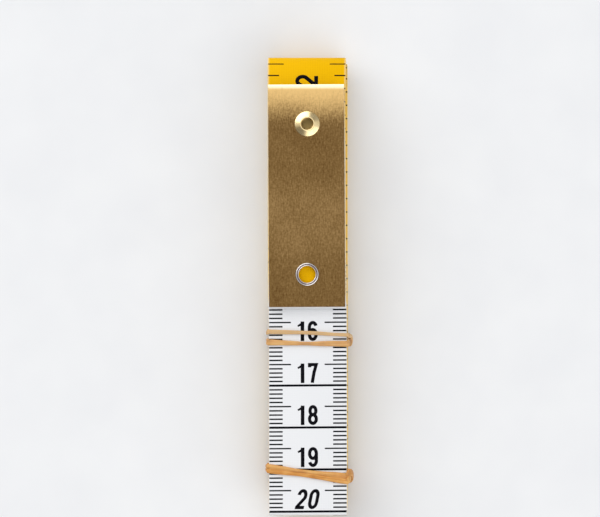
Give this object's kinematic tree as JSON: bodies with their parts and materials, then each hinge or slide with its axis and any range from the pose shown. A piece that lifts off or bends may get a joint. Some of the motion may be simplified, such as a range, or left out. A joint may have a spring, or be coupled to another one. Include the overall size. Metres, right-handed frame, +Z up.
{
  "type": "cloth tape measure",
  "caption": "Dressmaker's cloth tape measure, wound flat with a riveted brass end and held by rubber bands; centimetres on white, inches on yellow.",
  "frame": {"origin": "centre of the bounding box in X and Y, on the flat underside that the bundle lies on", "axes": "+Y along the bundle towards the closed tip of the brass end, +Z up from the surface it lies on, X across the tape's width"},
  "size_m": [0.0216, 0.109, 0.0148],
  "materials": {
    "tape_yellow": "satin coated woven tape, printed in black",
    "tape_white": "satin coated woven tape, printed in black",
    "brass": "rolled sheet with fine lengthwise brushing and light tarnish",
    "bright_brass": "polished",
    "nickel": "bright nickel plate",
    "rubber_band": "matte natural rubber"
  },
  "bodies": {
    "root": {"tape_coil": "tape_yellow", "far_end_clip": "nickel"},
    "flap": {"tape_flap": "tape_yellow"},
    "brass_end": {"tape_tongue": "tape_white", "brass_sheath": "brass", "tip_rivet": "bright_brass", "eyelet": "nickel"},
    "upper_band": {"upper_band": "rubber_band"},
    "lower_band": {"lower_band": "rubber_band"}
  },
  "joints": [
    {"name": "flap_hinge", "type": "hinge", "parent": "root", "child": "flap", "pos_m": [-0.00051, 0.0433, 0.0122], "axis": [-1, 0, 0], "range_deg": [0, 170]},
    {"name": "end_hinge", "type": "hinge", "parent": "flap", "child": "brass_end", "pos_m": [-0.00051, -0.00455, 0.0131], "axis": [1, 0, 0], "range_deg": [0, 170]},
    {"name": "upper_band_slide", "type": "slide", "parent": "root", "child": "upper_band", "axis": [0, 1, 0], "range_m": [-0.013, 0.003]},
    {"name": "lower_band_slide", "type": "slide", "parent": "root", "child": "lower_band", "axis": [0, 1, 0], "range_m": [-0.016, 0.013]}
  ],
  "couplings": [
    {"joint": "end_hinge", "follows": "flap_hinge", "ratio": 1}
  ]
}
